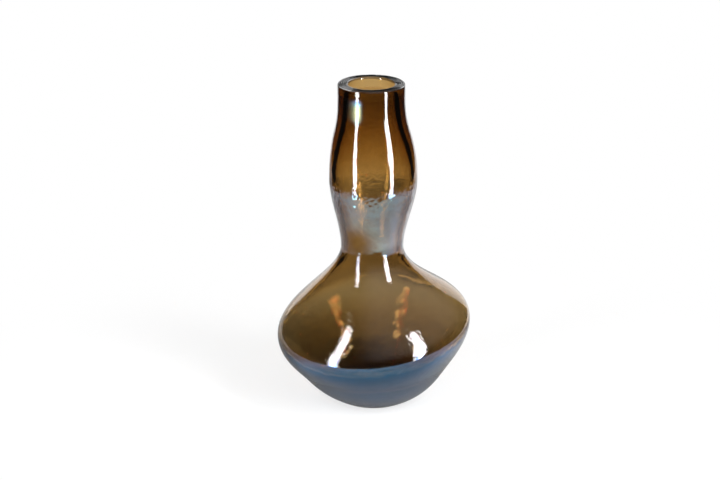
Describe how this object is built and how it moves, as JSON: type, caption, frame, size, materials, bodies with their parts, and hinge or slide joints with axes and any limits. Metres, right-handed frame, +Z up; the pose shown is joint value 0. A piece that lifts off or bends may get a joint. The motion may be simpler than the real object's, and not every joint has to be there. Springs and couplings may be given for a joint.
{
  "type": "gourd vase",
  "caption": "Double-gourd flower vase of heavy amber glass with a lustred outer layer, a leaning belly, a slim waist, a swelling neck and a thick rounded lip.",
  "frame": {"origin": "on the surface that the vase stands on, under the middle of the belly", "axes": "+Z up through the mouth; -Y faces the viewer and +X is to the viewer's right; the belly leans down between -X and -Y"},
  "size_m": [0.195, 0.1952, 0.33],
  "materials": {
    "lustred_glass": "polished, iridescent",
    "amber_glass": "polished",
    "lip_glass": "fire-polished",
    "base_glass": "polished"
  },
  "bodies": {
    "root": {"outer_casing": "lustred_glass", "amber_liner": "amber_glass", "lip_wrap": "lip_glass", "base_pad": "base_glass"}
  },
  "joints": []
}
